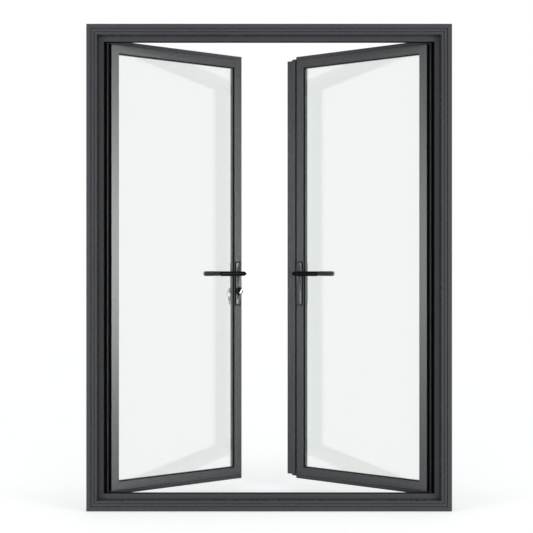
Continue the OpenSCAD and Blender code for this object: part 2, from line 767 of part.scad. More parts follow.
cam_room = case_t + 2;
module lock_cylinder() {
    color(steel) on_left() difference() {
        through(cyl_z, -handle_plate_t, leaf_t + handle_plate_t + 1) cylinder_outline(0);
        through(cyl_z, -handle_plate_t - 1, leaf_t + handle_plate_t + 2) circle(r = core_r + 0.05);
        through(cyl_z, lock_q - cam_room / 2, lock_q + cam_room / 2) circle(r = cyl_r + 0.2);
    }
}
cam_r = cyl_r - 0.3;
core_q1 = leaf_t + handle_plate_t + 1;
module turn_hub() {
    color(black_coat) on_left() difference() {
        union() {
            through(cyl_z, -handle_plate_t - 0.3 - hub_l, -handle_plate_t - 0.3) circle(r = hub_r);
            through(cyl_z, -handle_plate_t - 0.3 - eps, core_q1) circle(r = core_r);
            through(cyl_z, lock_q - case_t / 2, lock_q + case_t / 2) circle(r = cam_r);
        }
        through(cyl_z, lock_q + case_t / 2, core_q1 + 1) square([key_t + 0.2, blade_h + 0.2], center = true);
    }
}
module thumb_turn() {
    q1 = -handle_plate_t - 0.3 - hub_l;
    color(steel) on_left() through(cyl_z, q1 - paddle_d, q1) rotate(-paddle_tilt) {
        square([paddle_w, paddle_l - paddle_w], center = true);
        for (s = [-1, 1]) translate([0, s * (paddle_l - paddle_w) / 2]) circle(d = paddle_w);
    }
}

// The key in the outer side: its blade in the core, its bow upright and square to the leaf
blade_h = 8;
module key_disc(q, z, r, t) translate([spindle_x - t / 2, q, z]) rotate([0, 90, 0]) cylinder(r = r, h = t);
module key() {
    blade_q0 = lock_q + case_t / 2 + 1;
    color(steel) on_left() difference() {
        union() {
            key_disc(bow_q, cyl_z, bow_r, key_t);
            translate([spindle_x - key_t / 2, blade_q0, cyl_z - blade_h / 2])
                cube([key_t, bow_q - blade_q0, blade_h]);
        }
        key_disc(hole_q, cyl_z, bow_hole_r, key_t + 2);
    }
}
ring_top_z = cyl_z - bow_hole_r + ring_wire_r + 0.15;
ring_z = ring_top_z - ring_r;
module key_ring() {
    color(steel) on_left() translate([spindle_x, hole_q, ring_z]) rotate([90, 0, 0])
        rotate_extrude() translate([ring_r, 0]) circle(r = ring_wire_r);
}
spare_hole_z = ring_z - ring_r + ring_wire_r + 0.15 - bow_hole_r;
spare_bow_z = spare_hole_z - spare_bow_r + bow_hole_r + 2.5;
module spare_key() {
    color(steel) on_left() difference() {
        union() {
            key_disc(hole_q, spare_bow_z, spare_bow_r, key_t);
            translate([spindle_x - key_t / 2, hole_q - blade_h / 2, spare_bow_z - spare_bow_r - spare_blade_l])
                cube([key_t, blade_h, spare_blade_l + spare_bow_r]);
        }
        key_disc(hole_q, spare_hole_z, bow_hole_r, key_t + 2);
    }
}

// Bolts of the passive leaf

gear_t = 2 * rod_r + 8;
module bolt_gearbox() {
    color(steel) on_right() difference() {
        lock_block(flange_out + leaf_wall + fit_play, case_p1, handle_z - gear_h, handle_z + gear_h, gear_t);
        through(handle_z, 0, leaf_t) circle(r = spindle_w * 0.75);
        rod_at(handle_z + gear_h - rod_foot - 1, rod_hole_r, rod_foot + 2);
        rod_at(handle_z - gear_h - 1, rod_hole_r, rod_foot + 2);
    }
}
module top_bolt() {
    z0 = handle_z + gear_h - rod_foot;
    color(steel) on_right() rod_at(z0, rod_r, rod_rest_z - z0);
}
module bottom_bolt() {
    z0 = frame_h - rod_rest_z;
    color(steel) on_right() rod_at(z0, rod_r, handle_z - gear_h + rod_foot - z0);
}

// Mullion on the passive leaf's edge, drawn closed in the frame's own place

module on_right_closed() on_right() mirror([1, 0, 0]) children();
mullion_z0 = land_u;
mullion_h = frame_h - 2 * land_u;

module mullion_profile() {
    w = leaf_wall;
    c = edge + fit_play;
    difference() {
        polygon(eased([
            [mullion_x0, 0], [mullion_x1, 0], [mullion_x1, lip_t], [web_x1, lip_t],
            [web_x1, flange_q - c], [web_x1 - c, flange_q],
            [web_split, flange_q], [web_split, web_y], [web_x0, web_y], [web_x0, lip_t], [mullion_x0, lip_t]
        ], min(edge, (flange_q - web_y) / 2)));
        polygon([[mullion_x0 + w, w], [mullion_x1 - w, w], [mullion_x1 - w, lip_t - w], [mullion_x0 + w, lip_t - w]]);
        polygon([[web_x0 + w, lip_t + w], [web_x1 - w, lip_t + w], [web_x1 - w, web_y - web_back],
            [web_x0 + w, web_y - web_back]]);
    }
}
// The strike pocket's slots in the mullion's own place
module strike_slots(x0, x1, play) {
    for (b = [[handle_z, latch_h], [dead_z, dead_h]])
        translate([x0, bolt_q0 - play, b[0] - b[1] / 2 - 1])
            cube([x1 - x0, bolt_t + 2 * play, b[1] + 2]);
}
module floating_mullion() {
    color(anthracite) on_right_closed() difference() {
        translate([0, 0, mullion_z0]) linear_extrude(mullion_h) mullion_profile();
        strike_slots(web_x0 - 1, web_x0 + leaf_wall + 1, 0.2);
    }
}
cap_plug = 20;
module one_end_cap() {
    w = leaf_wall + fit_play;
    translate([web_x0, step_q, mullion_z0 - cap_h])
        cube([web_x1 - edge - web_x0, web_y - step_q, cap_h]);
    translate([web_x0 + w, step_q, mullion_z0 - eps])
        cube([web_x1 - web_x0 - 2 * w, web_y - web_back - fit_play - step_q, cap_plug]);
}
module mullion_end_caps() {
    color("dimgray") on_right_closed() {
        one_end_cap();
        upended() one_end_cap();
    }
}
// One strip seals against the active leaf, the other fills the joint beside the passive leaf's raised face
joint_q = 12;
module mullion_gasket() {
    joint_x0 = mullion_x1 + fit_play;
    joint_x1 = land_x - edge_seal - fit_play;
    color(rubber_black) on_right_closed() {
        translate([mullion_x0 + 1, lip_t, mullion_z0])
            cube([web_x0 - mullion_x0 - 7, stop_seal - 0.3, mullion_h]);
        translate([joint_x0, joint_q, mullion_z0])
            cube([joint_x1 - joint_x0, step_q - fit_play - joint_q, mullion_h]);
    }
}
module strike_plate() {
    z0 = dead_z - dead_h / 2 - 20;
    z1 = handle_z + latch_h / 2 + 20;
    color(steel) on_right_closed() difference() {
        translate([web_x0 - strike_t, step_q, z0]) cube([strike_t, web_y - step_q - edge, z1 - z0]);
        strike_slots(web_x0 - strike_t - 1, web_x0 + 1, 0.2);
    }
}

frame_head();
frame_sill();
frame_jamb_left();
frame_jamb_right();
frame_corner_cleats();
frame_stop_gasket();
bolt_keeps();
left_hinge_frame_leaves();
right_hinge_frame_leaves();
hinge_pins();
left_hinge_stile();
left_lock_stile();
left_top_rail();
left_bottom_rail();
left_corner_cleats();
left_glass_panes();
left_glass_spacer();
left_leaf_gaskets();
left_setting_blocks();
left_glazing_beads();
left_hinge_sash_leaves();
left_inner_plate();
left_outer_plate();
lock_case();
lock_faceplate();
lock_cylinder();
left_inner_lever();
left_outer_lever();
left_spindle();
lock_follower();
latch_bolt();
dead_bolt();
turn_hub();
thumb_turn();
key();
key_ring();
spare_key();
right_hinge_stile();
right_lock_stile();
right_top_rail();
right_bottom_rail();
right_corner_cleats();
right_glass_panes();
right_glass_spacer();
right_leaf_gaskets();
right_setting_blocks();
right_glazing_beads();
right_hinge_sash_leaves();
right_inner_plate();
right_outer_plate();
bolt_gearbox();
floating_mullion();
mullion_end_caps();
mullion_gasket();
strike_plate();
right_inner_lever();
right_outer_lever();
right_spindle();
top_bolt();
bottom_bolt();
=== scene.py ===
import json
import math

import bmesh
import bpy
from mathutils import Matrix, Vector


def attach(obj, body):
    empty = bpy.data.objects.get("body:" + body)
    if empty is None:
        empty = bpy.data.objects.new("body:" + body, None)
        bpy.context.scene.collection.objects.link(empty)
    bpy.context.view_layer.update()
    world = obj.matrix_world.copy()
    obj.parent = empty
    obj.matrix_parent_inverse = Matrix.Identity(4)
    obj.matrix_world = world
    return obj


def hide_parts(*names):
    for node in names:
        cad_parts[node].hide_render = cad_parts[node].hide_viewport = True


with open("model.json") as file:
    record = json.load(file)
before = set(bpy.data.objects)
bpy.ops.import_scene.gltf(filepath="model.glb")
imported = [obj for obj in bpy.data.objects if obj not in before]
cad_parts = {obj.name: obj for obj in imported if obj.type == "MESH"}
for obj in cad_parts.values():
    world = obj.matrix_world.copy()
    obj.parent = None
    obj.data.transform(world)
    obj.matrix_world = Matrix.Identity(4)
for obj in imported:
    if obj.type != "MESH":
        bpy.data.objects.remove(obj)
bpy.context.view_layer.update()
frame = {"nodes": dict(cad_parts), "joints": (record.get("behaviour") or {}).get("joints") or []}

nodes = frame["nodes"]
MM = 0.001


# Frame bars
# Four hollow aluminium extrusions with a stepped casing and a stop lip, mitred into a rectangle and
# crimped over corner cleats. They are powder-coated in anthracite and stoved: a dense satin skin.

def linear(hex_colour):
    """An sRGB hex colour as linear red, green, blue and alpha."""
    parts = [int(hex_colour[i:i + 2], 16) / 255 for i in (1, 3, 5)]
    return tuple(c / 12.92 if c <= 0.04045 else ((c + 0.055) / 1.055) ** 2.4 for c in parts) + (1.0,)


def add_node(tree, kind, settings=None, links=None):
    """A node of that kind in the tree, with its properties and sockets set and its inputs linked."""
    node = tree.nodes.new(kind)
    for name, value in (settings or {}).items():
        if isinstance(name, str) and hasattr(node, name):
            setattr(node, name, value)
        else:
            node.inputs[name].default_value = value
    for name, socket in (links or {}).items():
        tree.links.new(socket, node.inputs[name])
    return node


def new_material(name):
    """An empty node material and its tree."""
    material = bpy.data.materials.new(name)
    material.use_nodes = True
    material.node_tree.nodes.clear()
    return material, material.node_tree


def powder_coat(name, shade, light_shade, roughness, mirror=0.5):
    """Stoved polyester powder over metal. The eye sees one even satin colour with broad soft highlights,
    and close to it the orange peel of the melted powder. The peel is about 0.4 mm across, too fine to
    show from here, so it is drawn ten times coarser. Broad faint patches stand for handling."""
    peel = 4 * MM
    patch = 260 * MM
    material, tree = new_material(name)
    place = add_node(tree, "ShaderNodeTexCoord")
    grain = add_node(tree, "ShaderNodeTexNoise", {"Scale": 1 / peel, "Detail": 3.0, "Roughness": 0.6},
                     {"Vector": place.outputs["Object"]})
    cloud = add_node(tree, "ShaderNodeTexNoise", {"Scale": 1 / patch, "Detail": 2.0},
                     {"Vector": place.outputs["Object"]})
    tone = add_node(tree, "ShaderNodeMix", {"data_type": "RGBA", 6: linear(shade), 7: linear(light_shade)},
                    {0: cloud.outputs["Fac"]})
    gloss = add_node(tree, "ShaderNodeMapRange", {"To Min": roughness - 0.02, "To Max": roughness + 0.02},
                     {"Value": grain.outputs["Fac"]})
    skin = add_node(tree, "ShaderNodeBump", {"Strength": 0.05, "Distance": 0.05 * MM},
                    {"Height": grain.outputs["Fac"]})
    shader = add_node(tree, "ShaderNodeBsdfPrincipled", {"IOR": 1.5, "Specular IOR Level": mirror},
                      {"Base Color": tone.outputs[2], "Roughness": gloss.outputs["Result"],
                       "Normal": skin.outputs["Normal"]})
    add_node(tree, "ShaderNodeOutputMaterial", None, {"Surface": shader.outputs["BSDF"]})
    return material


def dress(material, *names):
    """The CAD nodes of those names wear the material."""
    for name in names:
        nodes[name].data.materials.clear()
        nodes[name].data.materials.append(material)


anthracite_coat = powder_coat("anthracite_powder_coat", "#434447", "#494a4d", 0.27)
dress(anthracite_coat, "frame_head", "frame_sill", "frame_jamb_left", "frame_jamb_right")


# Corner cleats
# Extruded aluminium angles pushed into the hollow corners of the frame and of both leaves.
# They keep the mill finish: pale grey with fine die lines along the pull.

def mill_aluminium(name, shade, bright_shade):
    """Bare extruded aluminium. The eye sees pale metal streaked along its length by the die; the lines
    are some 0.3 mm apart and are drawn at 1.5 mm."""
    die_line = 1.5 * MM
    material, tree = new_material(name)
    place = add_node(tree, "ShaderNodeTexCoord")
    pull = add_node(tree, "ShaderNodeMapping", {"Scale": (1.0, 1.0, 0.02)},
                    {"Vector": place.outputs["Object"]})
    lines = add_node(tree, "ShaderNodeTexNoise", {"Scale": 1 / die_line, "Detail": 2.0},
                     {"Vector": pull.outputs["Vector"]})
    tone = add_node(tree, "ShaderNodeMix", {"data_type": "RGBA", 6: linear(shade), 7: linear(bright_shade)},
                    {0: lines.outputs["Fac"]})
    gloss = add_node(tree, "ShaderNodeMapRange", {"To Min": 0.32, "To Max": 0.5},
                     {"Value": lines.outputs["Fac"]})
    shader = add_node(tree, "ShaderNodeBsdfPrincipled", {"Metallic": 1.0},
                      {"Base Color": tone.outputs[2], "Roughness": gloss.outputs["Result"]})
    add_node(tree, "ShaderNodeOutputMaterial", None, {"Surface": shader.outputs["BSDF"]})
    return material


mill_finish = mill_aluminium("mill_finish_aluminium", "#a9abad", "#bfc1c3")
dress(mill_finish, "frame_corner_cleats", "left_corner_cleats", "right_corner_cleats")


# Seals
# EPDM rubber: a ring on the back of the stop lip, strips on the mullion, and on each leaf two glazing
# gaskets, a ring round the raised face and a strip on the hinge side. Extruded and pressed into place.

def epdm(name, shade, bloom_shade):
    """Black EPDM. The eye sees a deep matt black with a faint grey bloom in patches of about 20 mm."""
    bloom = 20 * MM
    skin = 1.2 * MM
    material, tree = new_material(name)
    place = add_node(tree, "ShaderNodeTexCoord")
    patches = add_node(tree, "ShaderNodeTexNoise", {"Scale": 1 / bloom, "Detail": 4.0},
                       {"Vector": place.outputs["Object"]})
    pores = add_node(tree, "ShaderNodeTexNoise", {"Scale": 1 / skin, "Detail": 1.0},
                     {"Vector": place.outputs["Object"]})
    tone = add_node(tree, "ShaderNodeMix", {"data_type": "RGBA", 6: linear(shade), 7: linear(bloom_shade)},
                    {0: patches.outputs["Fac"]})
    bump = add_node(tree, "ShaderNodeBump", {"Strength": 0.2, "Distance": 0.1 * MM},
                    {"Height": pores.outputs["Fac"]})
    shader = add_node(tree, "ShaderNodeBsdfPrincipled",
                      {"Roughness": 0.8, "IOR": 1.52, "Specular IOR Level": 0.1},
                      {"Base Color": tone.outputs[2], "Normal": bump.outputs["Normal"]})
    add_node(tree, "ShaderNodeOutputMaterial", None, {"Surface": shader.outputs["BSDF"]})
    return material


seal_rubber = epdm("black_epdm_seal", "#090a0b", "#0f1011")
dress(seal_rubber, "frame_stop_gasket", "mullion_gasket", "left_leaf_gaskets", "right_leaf_gaskets")


# Hinges
# Three steel butt hinges a side on the outer face: a frame leaf with two end knuckles, a leaf plate
# with the middle knuckle, and a headed pin. Pressed steel, coated satin black.

hinge_coat = powder_coat("black_powder_coat_on_steel", "#1b1c1e", "#222326", 0.42)
dress(hinge_coat, "left_hinge_frame_leaves", "right_hinge_frame_leaves", "hinge_pins",
      "left_hinge_sash_leaves", "right_hinge_sash_leaves")


# Leaf bars
# Each leaf is four mitred hollow bars with a raised face, a middle step and a back flange that laps
# the frame. Same extrusion works and same anthracite powder as the frame.

leaf_bars = [f"{side}_{bar}" for side in ("left", "right")
             for bar in ("hinge_stile", "lock_stile", "top_rail", "bottom_rail")]
dress(anthracite_coat, *leaf_bars)


# Glass
# Each leaf holds two panes of float glass, sealed round a spacer bar into one insulating unit.
# The glass is clear; only its cut edges look green.

def float_glass(name, tint):
    """Clear float glass. The eye sees through it, with a slight cool tint and the surroundings mirrored faintly
    in both panes. Rollers leave waves of some 400 mm that bend the mirror image a little. A faint pale diffuse
    share on each face is painted reflection: it veils dark things behind the glass as the mirrored room would."""
    roller_wave = 400 * MM
    # Painted reflection: the share and shade of a pale diffuse layer that stands for the room mirrored in the
    # panes.
    reflection_veil_share, reflection_veil_shade = 0.018, "#e2efe8"
    material, tree = new_material(name)
    place = add_node(tree, "ShaderNodeTexCoord")
    wave = add_node(tree, "ShaderNodeTexNoise", {"Scale": 1 / roller_wave, "Detail": 0.0},
                    {"Vector": place.outputs["Object"]})
    bend = add_node(tree, "ShaderNodeBump", {"Strength": 0.02, "Distance": 0.05 * MM},
                    {"Height": wave.outputs["Fac"]})
    shader = add_node(tree, "ShaderNodeBsdfPrincipled",
                      {"Base Color": linear(tint), "Transmission Weight": 1.0, "Roughness": 0.0, "IOR": 1.5},
                      {"Normal": bend.outputs["Normal"]})
    # Painted reflection: this faint pale diffuse layer stands for the mirrored room veiling dark things behind
    # the glass.
    reflection_veil = add_node(tree, "ShaderNodeBsdfDiffuse", {"Color": linear(reflection_veil_shade)})
    face = add_node(tree, "ShaderNodeMixShader", {0: reflection_veil_share},
                    {1: shader.outputs["BSDF"], 2: reflection_veil.outputs["BSDF"]})
    # Light that only passes on its way to another surface goes straight through.
    path = add_node(tree, "ShaderNodeLightPath")
    rough = add_node(tree, "ShaderNodeMath", {"operation": "SUBTRACT", "use_clamp": True},
                     {0: path.outputs["Is Glossy Ray"], 1: path.outputs["Is Singular Ray"]})
    passing = add_node(tree, "ShaderNodeMath", {"operation": "MAXIMUM"},
                       {0: path.outputs["Is Shadow Ray"], 1: path.outputs["Is Diffuse Ray"]})
    passing = add_node(tree, "ShaderNodeMath", {"operation": "MAXIMUM"},
                       {0: passing.outputs[0], 1: rough.outputs[0]})
    open_way = add_node(tree, "ShaderNodeBsdfTransparent", {"Color": linear(tint)})
    pane = add_node(tree, "ShaderNodeMixShader", None,
                    {0: passing.outputs[0], 1: face.outputs["Shader"], 2: open_way.outputs["BSDF"]})
    add_node(tree, "ShaderNodeOutputMaterial", None, {"Surface": pane.outputs["Shader"]})
    return material


clear_glass = float_glass("clear_float_glass", "#f9fbfa")
dress(clear_glass, "left_glass_panes", "right_glass_panes")


# Spacer bars
# A folded aluminium bar, coated dark grey and filled with drying grains, runs round between the panes
# under a bead of black sealant.

spacer_metal = powder_coat("dark_coated_spacer_bar", "#454c4b", "#4d5453", 0.45)
dress(spacer_metal, "left_glass_spacer", "right_glass_spacer")


# Setting blocks and mullion end caps
# Moulded black polyamide. The blocks carry the glass in its pocket; the caps close the mullion's ends.

def moulded_plastic(name, shade, light_shade):
    """Black glass-filled polyamide. The eye sees a dull black with a fine spark-eroded grain of about
    0.5 mm, drawn at 1.5 mm."""
    grain_size = 1.5 * MM
    material, tree = new_material(name)
    place = add_node(tree, "ShaderNodeTexCoord")
    grain = add_node(tree, "ShaderNodeTexNoise", {"Scale": 1 / grain_size, "Detail": 2.0},
                     {"Vector": place.outputs["Object"]})
    tone = add_node(tree, "ShaderNodeMix", {"data_type": "RGBA", 6: linear(shade), 7: linear(light_shade)},
                    {0: grain.outputs["Fac"]})
    bump = add_node(tree, "ShaderNodeBump", {"Strength": 0.25, "Distance": 0.1 * MM},
                    {"Height": grain.outputs["Fac"]})
    shader = add_node(tree, "ShaderNodeBsdfPrincipled", {"Roughness": 0.55, "IOR": 1.53},
                      {"Base Color": tone.outputs[2], "Normal": bump.outputs["Normal"]})
    add_node(tree, "ShaderNodeOutputMaterial", None, {"Surface": shader.outputs["BSDF"]})
    return material


black_moulding = moulded_plastic("black_polyamide_moulding", "#151618", "#1e1f22")
dress(black_moulding, "left_setting_blocks", "right_setting_blocks", "mullion_end_caps")


# Glazing beads
# Square aluminium beads clipped in behind the glass, coated with the bars.

dress(anthracite_coat, "left_glazing_beads", "right_glazing_beads")


# Mullion
# A hollow T-shaped extrusion screwed to the free edge of the passive leaf. It covers the meeting
# joint and takes the latch and the dead bolt. Coated with the bars.

dress(anthracite_coat, "floating_mullion")


# Lock works, bolts and keeps
# Steel pressings and bars, zinc-plated and clear passivated, in the leaf edges and the frame.

def zinc_plate(name, shade, bright_shade):
    """Bright zinc on steel. The eye sees a pale bluish metal, slightly cloudy, with rolling lines
    upright; these are finer than a millimetre and are drawn at 1.2 mm."""
    rolling_line = 1.2 * MM
    cloud_size = 30 * MM
    material, tree = new_material(name)
    place = add_node(tree, "ShaderNodeTexCoord")
    rolled = add_node(tree, "ShaderNodeMapping", {"Scale": (1.0, 1.0, 0.05)},
                      {"Vector": place.outputs["Object"]})
    lines = add_node(tree, "ShaderNodeTexNoise", {"Scale": 1 / rolling_line, "Detail": 2.0},
                     {"Vector": rolled.outputs["Vector"]})
    clouds = add_node(tree, "ShaderNodeTexNoise", {"Scale": 1 / cloud_size, "Detail": 3.0},
                      {"Vector": place.outputs["Object"]})
    tone = add_node(tree, "ShaderNodeMix", {"data_type": "RGBA", 6: linear(shade), 7: linear(bright_shade)},
                    {0: clouds.outputs["Fac"]})
    gloss = add_node(tree, "ShaderNodeMapRange", {"To Min": 0.25, "To Max": 0.42},
                     {"Value": lines.outputs["Fac"]})
    shader = add_node(tree, "ShaderNodeBsdfPrincipled", {"Metallic": 1.0},
                      {"Base Color": tone.outputs[2], "Roughness": gloss.outputs["Result"]})
    add_node(tree, "ShaderNodeOutputMaterial", None, {"Surface": shader.outputs["BSDF"]})
    return material


zinc_steel = zinc_plate("zinc_plated_steel", "#a6a9ad", "#b8bbbf")
dress(zinc_steel, "bolt_keeps", "lock_case", "lock_faceplate", "lock_follower", "latch_bolt", "dead_bolt",
      "left_spindle", "right_spindle", "bolt_gearbox", "strike_plate", "top_bolt", "bottom_bolt")


# Handle plates
# Long cast aluminium plates with eased edges, one on each face of each leaf, bolted through the stile.
# The active leaf's pair is cut out for the lock cylinder. Coated with the bars.

joints = {joint["name"]: joint for joint in frame["joints"]}
leaf_axis = Vector(joints["left_swing"]["pos_m"])
leaf_open = -math.radians(joints["left_swing"]["range_deg"][0])
left_place = (Matrix.Translation(leaf_axis) @ Matrix.Rotation(leaf_open, 4, "Z")
              @ Matrix.Translation(-leaf_axis))
# Pieces are drawn on the shut left leaf; the right leaf is its mirror image.
leaf_place = {"left": left_place, "right": Matrix.Scale(-1, 4, (1, 0, 0)) @ left_place}
spindle = left_place.inverted() @ Vector(joints["left_lever_turn"]["pos_m"])
lock_core = left_place.inverted() @ Vector(joints["cylinder_turn"]["pos_m"])
LEAF_T = 44 * MM

# A drawing in X and Y stands upright on a leaf face with its Z pointing out of the face.
inner_side = Matrix.Rotation(math.pi / 2, 4, "X")
outer_side = Matrix.Rotation(math.pi, 4, "Z") @ inner_side


def arc(centre, radius, start, end, steps):
    """Points on a circle from one angle to another, in degrees."""
    turns = [math.radians(start + (end - start) * i / steps) for i in range(steps + 1)]
    return [(centre[0] + radius * math.cos(a), centre[1] + radius * math.sin(a)) for a in turns]


def rounded_box(x0, y0, x1, y1, r):
    """The outline of a rectangle with round corners."""
    corners = [((x1 - r, y1 - r), 0), ((x0 + r, y1 - r), 90),
               ((x0 + r, y0 + r), 180), ((x1 - r, y0 + r), 270)]
    return [p for centre, start in corners for p in arc(centre, r, start, start + 90, 8)]


def cut_sheet(outlines, thickness, ease):
    """A sheet of that thickness cut to the outlines, the first outside and the rest holes, all its edges
    eased. It lies in X and Y with its middle at Z 0."""
    drawing = bpy.data.curves.new("drawing", "CURVE")
    drawing.dimensions = "2D"
    drawing.fill_mode = "BOTH"
    drawing.extrude = thickness / 2 - ease
    drawing.bevel_depth = ease
    drawing.bevel_resolution = 2
    drawing.offset = -ease
    for outline in outlines:
        spline = drawing.splines.new("POLY")
        spline.points.add(len(outline) - 1)
        for point, (x, y) in zip(spline.points, outline):
            point.co = (x, y, 0, 1)
        spline.use_cyclic_u = True
    blank = bpy.data.objects.new("blank", drawing)
    bpy.context.scene.collection.objects.link(blank)
    mesh = bpy.data.meshes.new_from_object(blank.evaluated_get(bpy.context.evaluated_depsgraph_get()))
    bpy.data.objects.remove(blank)
    bpy.data.curves.remove(drawing)
    work = bmesh.new()
    work.from_mesh(mesh)
    bmesh.ops.remove_doubles(work, verts=work.verts, dist=0.002 * MM)
    bmesh.ops.recalc_face_normals(work, faces=work.faces)
    work.to_mesh(mesh)
    work.free()
    return mesh


def fit_piece(name, mesh, material, body, place, *stands_for):
    """The mesh as a finished piece: put in its place, smoothed up to its sharp edges and riding on its
    body in the stead of the CAD nodes it stands for."""
    sharp = math.radians(35)
    mesh.transform(place)
    if place.determinant() < 0:
        mesh.flip_normals()
    mesh.polygons.foreach_set("use_smooth", [True] * len(mesh.polygons))
    mesh.set_sharp_from_angle(angle=sharp)
    mesh.materials.clear()
    mesh.materials.append(material)
    piece = bpy.data.objects.new(name, mesh)
    bpy.context.scene.collection.objects.link(piece)
    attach(piece, body)
    if stands_for:
        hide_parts(*stands_for)
    return piece


PLATE_W, PLATE_H, PLATE_T = 30 * MM, 208 * MM, 8 * MM
PLATE_UP = 55 * MM
PLATE_CORNER = 6 * MM
# A thin black rubber sheet under each plate, wider than the plate, is painted shade: its rim draws the dark
# line round the plate.
SHADE_RIM_T, SHADE_RIM_EDGE = 1.2 * MM, 4.2 * MM
PLATE_EASE, SHADE_RIM_EASE = 1.2 * MM, 0.3 * MM


def plate_outline(edge):
    """A plate's outline, or that of the black sheet under it, whose rim shows all round as painted shade."""
    return rounded_box(-PLATE_W / 2 - edge, PLATE_UP - PLATE_H - edge, PLATE_W / 2 + edge, PLATE_UP + edge,
                       PLATE_CORNER + edge)


SPINDLE_HOLE_R = 8.5 * MM
spindle_hole = arc((0, 0), SPINDLE_HOLE_R, 0, 348.75, 31)
CYL_R, CYL_WEB, CYL_H = 8.5 * MM, 10 * MM, 33 * MM
CYL_PLAY = 0.1 * MM


def cylinder_outline(drop, play):
    """The lock cylinder's outline that far below the spindle: a round top on a narrow web with a
    round foot."""
    round_r, web_r = CYL_R + play, CYL_WEB / 2 + play
    side = math.degrees(math.asin(web_r / round_r))
    foot = (0, -drop + CYL_R - CYL_H + CYL_WEB / 2)
    return arc((0, -drop), round_r, -90 + side, 270 - side, 28) + arc(foot, web_r, 180, 360, 14)


core_drop = spindle.z - lock_core.z
for side in ("left", "right"):
    holes = [spindle_hole] + ([cylinder_outline(core_drop, CYL_PLAY)] if side == "left" else [])
    for face, turn, foot in (("inner", inner_side, 0), ("outer", outer_side, LEAF_T)):
        where = leaf_place[side] @ Matrix.Translation((spindle.x, foot, spindle.z)) @ turn
        raised = Matrix.Translation((0, 0, (SHADE_RIM_T + PLATE_T) / 2))
        plate = fit_piece(f"{side}_{face}_handle_plate",
                          cut_sheet([plate_outline(0), *holes], PLATE_T - SHADE_RIM_T, PLATE_EASE),
                          anthracite_coat, f"{side}_leaf", where @ raised, f"{side}_{face}_plate")
        # Painted shade: the black sheet's rim stands for the shade round the plate's edge.
        seated = Matrix.Translation((0, 0, SHADE_RIM_T / 2))
        shade_rim = fit_piece(f"{side}_{face}_plate_shade_rim",
                             cut_sheet([plate_outline(SHADE_RIM_EDGE), *holes], SHADE_RIM_T, SHADE_RIM_EASE),
                             seal_rubber, f"{side}_leaf", where @ seated)


# Levers
# A cast aluminium lever on each face: a round collar, a short neck and a flat oval grip, pointed behind
# the neck and round at its tip. Coated satin black and held on the spindle by a grub screw.

lever_coat = powder_coat("black_powder_coat_on_cast_aluminium", "#090a0b", "#0d0e0f", 0.26, 0.12)
LEVER_L, LEVER_OUT = 142 * MM, 46 * MM
GRIP_H, GRIP_D = 24 * MM, 13 * MM
COLLAR_R, COLLAR_L, COLLAR_GAP = 14 * MM, 8 * MM, 0.3 * MM
NECK_R, NECK_TAPER = 8 * MM, 1.2 * MM
NOSE_L, TIP_R = 12.5 * MM, 10 * MM
LEVER_SIDES = 40


def tube(rings, sides):
    """A closed skin through oval rings, each a centre, two half widths and the two ways they run."""
    work = bmesh.new()
    loops = []
    for centre, half_a, half_b, way_a, way_b in rings:
        turns = [2 * math.pi * k / sides for k in range(sides)]
        loops.append([work.verts.new(Vector(centre) + Vector(way_a) * half_a * math.cos(a)
                                     + Vector(way_b) * half_b * math.sin(a)) for a in turns])
    for low, high in zip(loops, loops[1:]):
        for k in range(sides):
            work.faces.new((low[k], low[(k + 1) % sides], high[(k + 1) % sides], high[k]))
    work.faces.new(loops[0])
    work.faces.new(loops[-1])
    bmesh.ops.recalc_face_normals(work, faces=work.faces)
    return work


def lever_mesh():
    """A lever with its collar at the origin, its grip along X and its face along Z."""
    x_way, y_way, z_way = (1, 0, 0), (0, 1, 0), (0, 0, 1)
    rim, fillet = 1.6 * MM, 2.5 * MM
    neck_foot = COLLAR_GAP + COLLAR_L
    # The stem: a turned collar with a rounded rim, then a neck that rises from a fillet into the grip.
    heights = [(COLLAR_GAP, COLLAR_R)]
    heights += [(neck_foot - rim + rim * math.sin(a), COLLAR_R - rim + rim * math.cos(a))
                for a in (math.radians(15 * i) for i in range(7))]
    heights += [(neck_foot + fillet * (1 - math.cos(a)), NECK_R + fillet * (1 - math.sin(a)))
                for a in (math.radians(15 * i) for i in range(7))]
    heights += [(LEVER_OUT, NECK_R - NECK_TAPER)]
    stem = tube([((0, 0, z), r, r, x_way, y_way) for z, r in heights], LEVER_SIDES)
    # The grip: a pointed nose past the neck, a long flat oval and a soft round end. Each ring is a place
    # along the grip with the part of its full height and depth that it has there.
    rings = [(-NOSE_L, 0.2, 0.3), (-NOSE_L + 1 * MM, 0.33, 0.5), (-2 * MM, 0.86, 0.9), (4 * MM, 0.92, 0.95),
             (LEVER_L / 2, 0.97, 0.97)]
    for a in (math.radians(10 * i) for i in range(9)):
        rings.append((LEVER_L - TIP_R + TIP_R * math.sin(a), math.cos(a), math.cos(a)))
    grip = tube([((x, 0, LEVER_OUT), GRIP_H / 2 * high, GRIP_D / 2 * deep, y_way, z_way)
                 for x, high, deep in rings], LEVER_SIDES)
    mesh = bpy.data.meshes.new("lever")
    grip.to_mesh(mesh)
    stem.from_mesh(mesh)
    stem.to_mesh(mesh)
    grip.free()
    stem.free()
    return mesh


